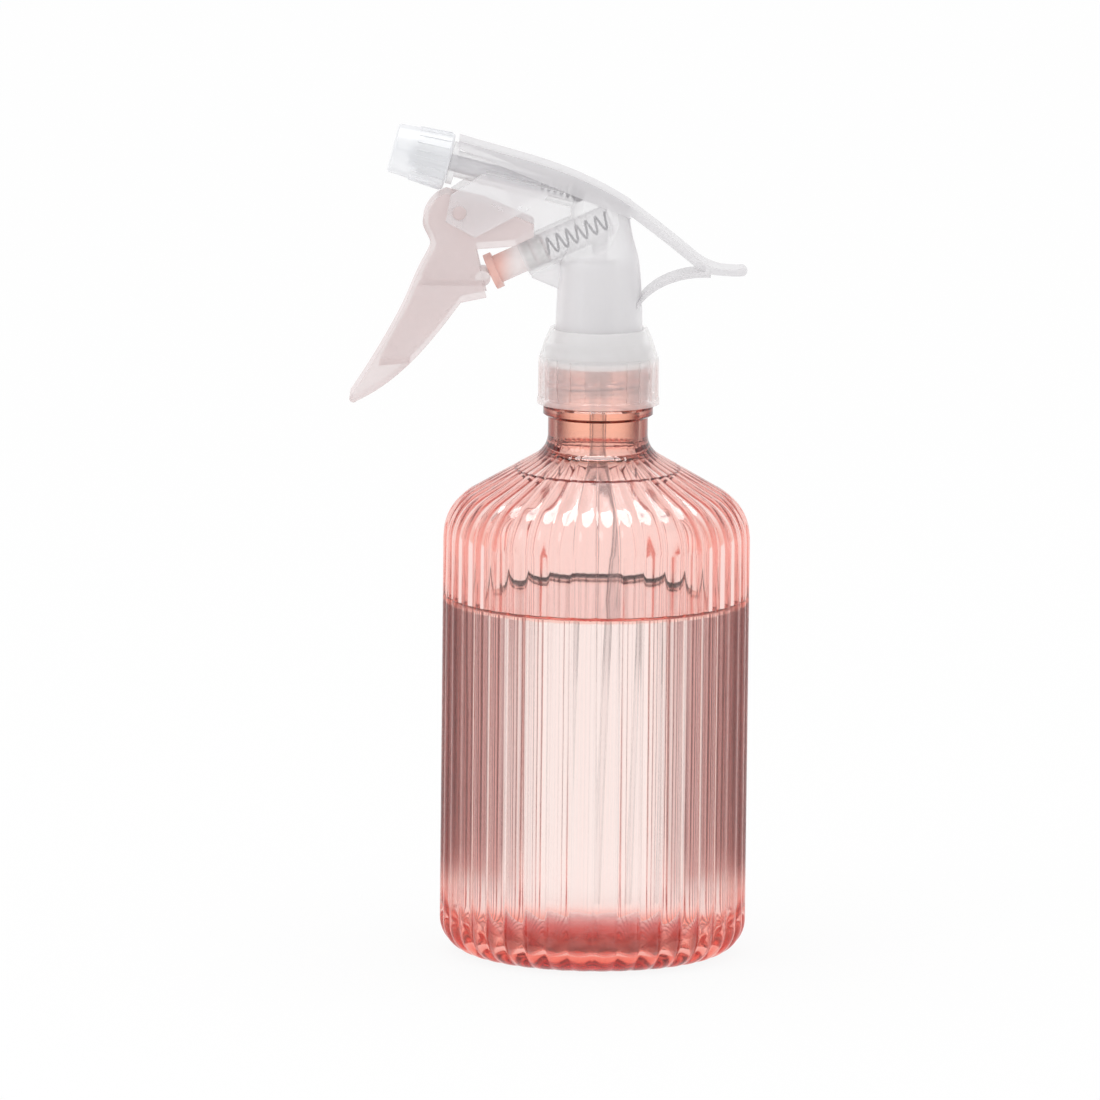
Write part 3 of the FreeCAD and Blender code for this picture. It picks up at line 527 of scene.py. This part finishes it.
def inside_rings():
    profile = inside_profile()
    end_r, end_z = profile[-1]
    rings = [inner_ring(r, z) for r, z in profile]
    throat_z = end_z + (end_r - BORE) * math.tan(SLOPE)
    for t, step in shoulder_steps:
        rings.append(inner_ring(end_r + (BORE - end_r) * t,
                                end_z + (throat_z - end_z) * t + step * MM))
    rings.append(ring(BORE, throat_z + 4 * MM))
    rings.append(ring(BORE, rim_z - SOFT))
    rings.append(ring(BORE + SOFT, rim_z))
    return rings


bottle = skin("bottle_fluted", outside + inside_rings()[::-1], coral, DOME, FLOOR)
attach(bottle, "bottle")
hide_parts("bottle")

# %% [markdown]
# ## The water in the bottle
# Water touches the wall without a gap. Two skins in the same place would fight in the render,
# and a gap would shine like air, so the water reaches 0.15 mm into the plastic and takes its
# flutes from the same rings. At the wall it climbs by 1.3 mm and falls away in a soft curve,
# the way a real meniscus does.

# %% Rings of the water
SINK = 0.15 * MM
CLIMB, CLIMB_WIDTH, FLUTES_GONE = 1.3 * MM, 1.1, 5.0
SHARE_AT_LEVEL = 0.85


def water_rings():
    rings = [inner_ring(r, z, SINK) for r, z in inside_profile(SINK) if z < LEVEL - 3 * MM]
    wall_r = INNER + SINK
    wall_dip = inner_dip(INNER) * SHARE_AT_LEVEL
    rings.append(inner_ring(wall_r, LEVEL - 1 * MM, SINK))
    rings.append(inner_ring(wall_r, LEVEL + CLIMB, SINK))
    for back in (0.25, 0.6, 1.1, 1.8, 2.8, 4.5):
        rings.append(ring(wall_r - back * MM, LEVEL + CLIMB * math.exp(-back / CLIMB_WIDTH),
                          wall_dip * (1 - back / FLUTES_GONE)))
    rings.append(ring(20 * MM, LEVEL))
    return rings


fill = skin("water_fill", water_rings(), water, FLOOR - SINK, LEVEL)
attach(fill, "bottle")

# %% [markdown]
# ## Milky plastic of the sprayer
# The head is natural polypropylene: undyed, cloudy, and thin enough to show what is behind it.
# Real scattering inside the solid would be noisy and slow in walls this thin. Instead Alpha
# lets a share of the light pass straight through each wall, less of it where the wall is seen
# edge-on and the way through it is long, and a faint Bump breaks up its gloss. The rubber of
# the seals and the gasket stops all of it.

# %% Milky, rubbery and pink parts
NATURAL = ((0.94, 0.925, 0.94), (0.88, 0.865, 0.88))


def cloudy(name, light, dark, rough):
    """Pale plastic with soft clouds in its colour."""
    finish = Finish(name, IOR=1.49)
    cloud = finish.noise(scale=90.0, detail=4.0)
    finish.set("Base Color", finish.mix(cloud, light, dark))
    finish.set("Roughness", rough + 0.12 * finish.noise(scale=400.0))
    return finish, cloud


def milky(name, light, dark, body, rough=0.3):
    """Cloudy plastic with a fine relief, where body is the share of light each wall stops."""
    finish, cloud = cloudy(name, light, dark, rough)
    relief = {"Height": finish.noise(scale=900.0, detail=2.0), "Distance": 0.05 * MM,
              "Strength": 0.2}
    finish.set("Normal", finish.node("ShaderNodeBump", {}, relief))
    if body < 1:
        edge = finish.edge_on()
        finish.set("Alpha", body + (1 - body) * 0.6 * edge * edge + 0.1 * (cloud - 0.5))
    return finish


sprayer_white = milky("sprayer_milky", *NATURAL, body=0.52)
shroud_clear = milky("shroud_milky", (0.80, 0.785, 0.80), (0.74, 0.72, 0.74), 0.44, 0.25)
trigger_pink = milky("trigger_milky", (0.83, 0.73, 0.73), (0.78, 0.64, 0.63), 0.42)
nozzle_clear = milky("nozzle_milky", (0.95, 0.96, 0.98), (0.89, 0.90, 0.93), 0.50, 0.25)
gasket_white = milky("gasket_rubber", (0.85, 0.85, 0.84), (0.78, 0.78, 0.77), 1.0, 0.6)
seal_white = milky("seal_rubber", (0.82, 0.82, 0.80), (0.75, 0.75, 0.73), 1.0, 0.5)
print("milky finishes:", [m.name for m in bpy.data.materials if "milky" in m.name])

# %% [markdown]
# ## Pump body
# The column, the pump cylinder and the barrel are one moulding. The cylinder's wall is 1 mm and
# the column's is 1.4 mm, with a plug and a stem behind it, so the column looks white and the
# spring shows through the cylinder. Alpha doesn't know how thick a wall is, so a mask lowers it
# in front of the column, from the cylinder up. That takes in the ears and the deck, which are
# single sheets. The mask starts at a line that leans by 0.462 mm for each millimetre along X,
# as the cylinder does.

# %% Natural plastic, clearer in front of the column
CYLINDER_LEAN = 0.462

pump_white, _ = cloudy("pump_milky", *NATURAL, rough=0.3)
over_line = pump_white.along("Z") - CYLINDER_LEAN * pump_white.along("X")
over_cylinder = pump_white.ramp(over_line, 184 * MM, 187.5 * MM)
front = over_cylinder * (1 - pump_white.ramp(pump_white.along("X"), 1.5 * MM, 4 * MM))
edge = pump_white.edge_on()
pump_white.set("Alpha", 0.54 - 0.27 * front + 0.4 * edge * edge)
print(pump_white.material.name, "has", len(pump_white.tree.nodes), "nodes")

# %% [markdown]
# ## Plunger
# The plunger carries a painted reflection of the coral bottle under it, strongest at its outer end
# by the trigger, and it clears towards the cylinder. One mask along its length carries both
# changes.

# %% Plunger with a painted coral reflection
piston_painted_coral = Finish("piston_milky", IOR=1.49)
inwards = piston_painted_coral.ramp(piston_painted_coral.along("X"), -27 * MM, -21 * MM)
# Outer end: a painted coral reflection of the bottle. Inwards: the plunger's own pale pink.
piston_painted_coral.set("Base Color", piston_painted_coral.mix(inwards, (0.92, 0.50, 0.42), (0.90, 0.78, 0.77)))
piston_painted_coral.set("Roughness", 0.35 + 0.1 * piston_painted_coral.noise(scale=400.0))
piston_painted_coral.set("Alpha", 0.62 - 0.25 * inwards)
print(piston_painted_coral.material.name, "has", len(piston_painted_coral.tree.nodes), "nodes")

# %% [markdown]
# ## Closure
# The closure is the clearest moulding: through its ribbed skirt shows the coral neck. A milky
# finish would hide the ribs, and full glass would hide the neck behind bright lines. A part of
# each, with a low bending power, keeps both. Its skirt carries painted coral light from the neck
# behind it, and its roof doesn't.

# %% Clear ribbed closure
closure_clear = Finish("closure_clear", IOR=1.35, Transmission_Weight=0.3)
cloud = closure_clear.noise(scale=90.0)
# The skirt's pink is painted coral light from the neck behind it.
skirt_painted_coral = closure_clear.mix(cloud, (1.0, 0.86, 0.84), (0.98, 0.82, 0.80))
roof = closure_clear.mix(cloud, (1, 1, 1), (0.99, 0.97, 0.97))
skirt_to_roof = closure_clear.height(153 * MM, 157 * MM)
closure_clear.set("Base Color", closure_clear.mix(skirt_to_roof, skirt_painted_coral, roof))
closure_clear.set("Roughness", 0.10 + 0.08 * closure_clear.noise(scale=400.0))
closure_clear.set("Alpha", 0.38 + 0.1 * closure_clear.noise(scale=60.0))
print(closure_clear.material.name, "has", len(closure_clear.tree.nodes), "nodes")

# %% [markdown]
# ## Dip tube
# The dip tube is thin clear pipe. Above the water its two edges show as slate lines and its
# middle nearly vanishes, and deep in the water all of it pales, because water and plastic bend
# light nearly alike. Glass inside water inside glass would be slow and restless, so the edge
# mask paints the two lines as painted shade, and a mask on height fades them.

# %% Clear tube that fades in the water
tube_clear = Finish("tube_clear", IOR=1.45, Roughness=0.1)
edge = tube_clear.edge_on()
# Painted shade along the tube's two edges, where a clear tube shows dark lines.
painted_edge_shade = tube_clear.mix(tube_clear.noise(scale=120.0), (0.16, 0.14, 0.20), (0.09, 0.08, 0.13))
tube_clear.set("Base Color", tube_clear.mix(tube_clear.ramp(edge, 0.25, 0.6),
                                            (0.85, 0.80, 0.84), painted_edge_shade))
fading = 0.3 + 0.7 * tube_clear.height(LEVEL - 26 * MM, LEVEL - 10 * MM)
tube_clear.set("Alpha", (0.08 + 0.9 * edge * edge) * fading)
print(tube_clear.material.name, "has", len(tube_clear.tree.nodes), "nodes")

# %% [markdown]
# ## Springs
# Both springs are round steel wire, a little dulled. A curve with a bevel could make them, but
# they have to shorten with the trigger and with the valve ball, so each one is a mesh of rings
# along the helix, in fine, even steps, and gets a mesh of its own.

# %% Spring steel, and wire wound about an axis
steel = Finish("spring_steel", Metallic=1.0)
steel.set("Base Color", steel.mix(steel.noise(scale=500.0),
                                  (0.20, 0.20, 0.22), (0.12, 0.12, 0.14)))
steel.set("Roughness", 0.25 + 0.2 * steel.noise(scale=700.0))
RINGS_PER_TURN, POINTS_AROUND = 28, 10


def coil(name, start, way, length, radius, wire, turns):
    """Coil about an axis, with its ends between start and start + length."""
    spin = Vector((0, 0, 1)).rotation_difference(Vector(way).normalized())
    count = int(turns * RINGS_PER_TURN)
    points = []
    for i in range(count + 1):
        angle = 2 * math.pi * turns * i / count
        rise = wire + (length - 2 * wire) * i / count
        for k in range(POINTS_AROUND):
            bend = 2 * math.pi * k / POINTS_AROUND
            out = radius + wire * math.cos(bend)
            point = Vector((out * math.cos(angle), out * math.sin(angle),
                            rise + wire * math.sin(bend)))
            points.append(Vector(start) + spin @ point)
    faces = tube_faces(count + 1, POINTS_AROUND)
    faces.append(tuple(range(POINTS_AROUND))[::-1])
    faces.append(tuple(count * POINTS_AROUND + k for k in range(POINTS_AROUND)))
    return new_piece(name, points, faces, steel)


# %% Return spring in the cylinder
cylinder_way = (-0.907777, 0, -0.419452)
cylinder_end = (2.2994 * MM, 0, 192.4977 * MM)
main_spring = coil("return_coil", cylinder_end, cylinder_way,
                   length=19.8 * MM, radius=2.1 * MM, wire=0.33 * MM, turns=7)
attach(main_spring, "head")
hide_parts("return_spring")
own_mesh(main_spring)

# %% Light spring behind the outlet ball
barrel_way = (-0.970296, 0, 0.241922)
ball_back = (-7.2447 * MM, 0, 199.0749 * MM)
light_spring = coil("outlet_coil", ball_back, barrel_way,
                    length=8.88 * MM, radius=1.35 * MM, wire=0.2 * MM, turns=5)
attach(light_spring, "head")
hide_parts("outlet_spring")
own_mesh(light_spring)

# %% [markdown]
# ## Dressing the other pieces
# The mouldings of the head come from the frame with their real shapes, so they only need their
# finish. It goes on each object's own material slots, and the mesh stays as it is.

# %% A finish for each node
def dress(node, finish):
    """The frame's node takes a finish on its own slots."""
    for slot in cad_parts[node].material_slots:
        slot.link = "OBJECT"
        slot.material = finish.material


finish_of = {
    "screw_closure": closure_clear, "neck_gasket": gasket_white, "tube_holder": sprayer_white,
    "inlet_ball": steel, "dip_tube": tube_clear, "pump_body": pump_white,
    "piston": piston_painted_coral, "piston_seal": seal_white, "vent_seal": seal_white,
    "outlet_ball": steel, "nozzle_core": nozzle_clear, "nozzle_seal": seal_white,
    "nozzle_cap": nozzle_clear, "trigger": trigger_pink, "shroud": shroud_clear,
}
for node, finish in finish_of.items():
    dress(node, finish)
print("dressed", len(finish_of), "nodes")

# %% [markdown]
# ## Floor
# The mister stands on a wide sheet of matt white paper. More lamps would make it white, but they
# would bleach the object too. So a Mix Shader lets the paper glow, but only for rays that Light
# Path says come from the eye, a gloss or a clear wall, and it still takes the object's shadow.

# %% White paper
HALF_SIDE = 6.0
GLOW_SHARE = 0.9

paper = Finish("paper", Roughness=0.9)
paper.set("Base Color", paper.mix(paper.noise(scale=3.0), (0.93, 0.93, 0.93), (0.90, 0.90, 0.90)))
rays = [paper.node("ShaderNodeLightPath", output=f"Is {kind} Ray")
        for kind in ("Camera", "Glossy", "Transmission")]
glow = paper.node("ShaderNodeEmission", {}, {"Color": (1, 1, 1, 1), "Strength": 1.0})
paper.output("Surface", paper.node("ShaderNodeMixShader", {}, {
    0: GLOW_SHARE * (rays[0] + rays[1] + rays[2]),
    1: Wire(paper, paper.shader.outputs[0]), 2: glow}))

corners = [(HALF_SIDE * x, HALF_SIDE * y, 0) for x, y in ((-1, -1), (1, -1), (1, 1), (-1, 1))]
floor = new_piece("floor", corners, [(0, 1, 2, 3)], paper)

# %% [markdown]
# ## Light of the studio
# A plain white world lights everything evenly. Clear plastic under it has no dark edges at all,
# while in a real room it mirrors what stands left and right of it. So for rays that have come
# through a clear wall, and only for those, the world turns coral far out along X, which is left
# and right of this lesson's camera. A soft lamp at the left gives the forms a light side, and an
# oval one above puts a highlight in the gloss.

# %% World
world = bpy.data.worlds.new("studio")
bpy.context.scene.world = world
world.use_nodes = True
studio = Board(world.node_tree)
direction = studio.node("ShaderNodeTexCoord", output="Generated")
sideways = abs(studio.node("ShaderNodeSeparateXYZ", {}, {0: direction}, "X"))
seen_through = studio.node("ShaderNodeLightPath", output="Is Transmission Ray")
sky = studio.mix(studio.ramp(sideways, 0.5, 1.0) * seen_through, (1, 1, 1), (0.94, 0.62, 0.55))
background = world.node_tree.nodes["Background"]
studio.plug(background, "Color", sky)
studio.plug(background, "Strength", 1.0)
print("world nodes:", len(world.node_tree.nodes))


# %% Lamps
def soft_lamp(name, place, size, power, only_gloss=False):
    """Oval soft lamp, aimed at the middle of the object."""
    data = bpy.data.lights.new(name, "AREA")
    data.shape = "ELLIPSE"
    data.size, data.size_y = size
    data.energy = power
    lamp = bpy.data.objects.new(name, data)
    lamp.location = place
    to_middle = Vector((0, 0, 120 * MM)) - Vector(place)
    lamp.rotation_euler = to_middle.to_track_quat("-Z", "Y").to_euler()
    lamp.visible_transmission = False
    lamp.visible_diffuse = not only_gloss
    bpy.context.scene.collection.objects.link(lamp)
    print(name, power, "W")


soft_lamp("window_left", place=(-0.9, -0.7, 0.9), size=(0.5, 0.5), power=1.5)
soft_lamp("softbox_above", place=(0.0, -0.05, 1.2), size=(1.1, 1.0), power=24.0, only_gloss=True)

# %% [markdown]
# ## Camera
# The mister is seen from its side, a little from above, and from far off through a long lens, so
# that the bottle's sides stay parallel. A wide lens close by would show more of the base and
# less of the shoulder. The camera leans by a hair about its own axis.

# %% Long lens from the side
DISTANCE = 3.5
LIFT, LEAN = math.radians(9.0), math.radians(0.62)
aim = Vector((-0.0121, 0, 0.1055))

lens = bpy.data.cameras.new("camera")
lens.lens = 440.0
lens.clip_end = 50
camera = bpy.data.objects.new("camera", lens)
camera.location = aim + DISTANCE * Vector((0, -math.cos(LIFT), math.sin(LIFT)))
camera.rotation_euler = (aim - camera.location).to_track_quat("-Z", "Y").to_euler()
camera.rotation_euler.rotate_axis("Z", LEAN)
scene = bpy.context.scene
scene.collection.objects.link(camera)
scene.camera = camera
print("camera at", [round(v, 3) for v in camera.location], "with a lens of", lens.lens, "mm")

# %% [markdown]
# ## How far light may travel
# A ray that crosses the fluted wall, the water and the tube meets some twenty skins, and a
# mirroring inside the plastic counts as gloss. With the usual limits such rays end early and
# leave black lines, so each limit is set high enough for the deepest path.

# %% Colour and light paths
scene.view_settings.view_transform = "Standard"
light_paths = {"max_bounces": 28, "transmission_bounces": 24, "glossy_bounces": 20,
               "transparent_max_bounces": 32}
for limit, count in light_paths.items():
    setattr(scene.cycles, limit, count)
print(light_paths)

# %% [markdown]
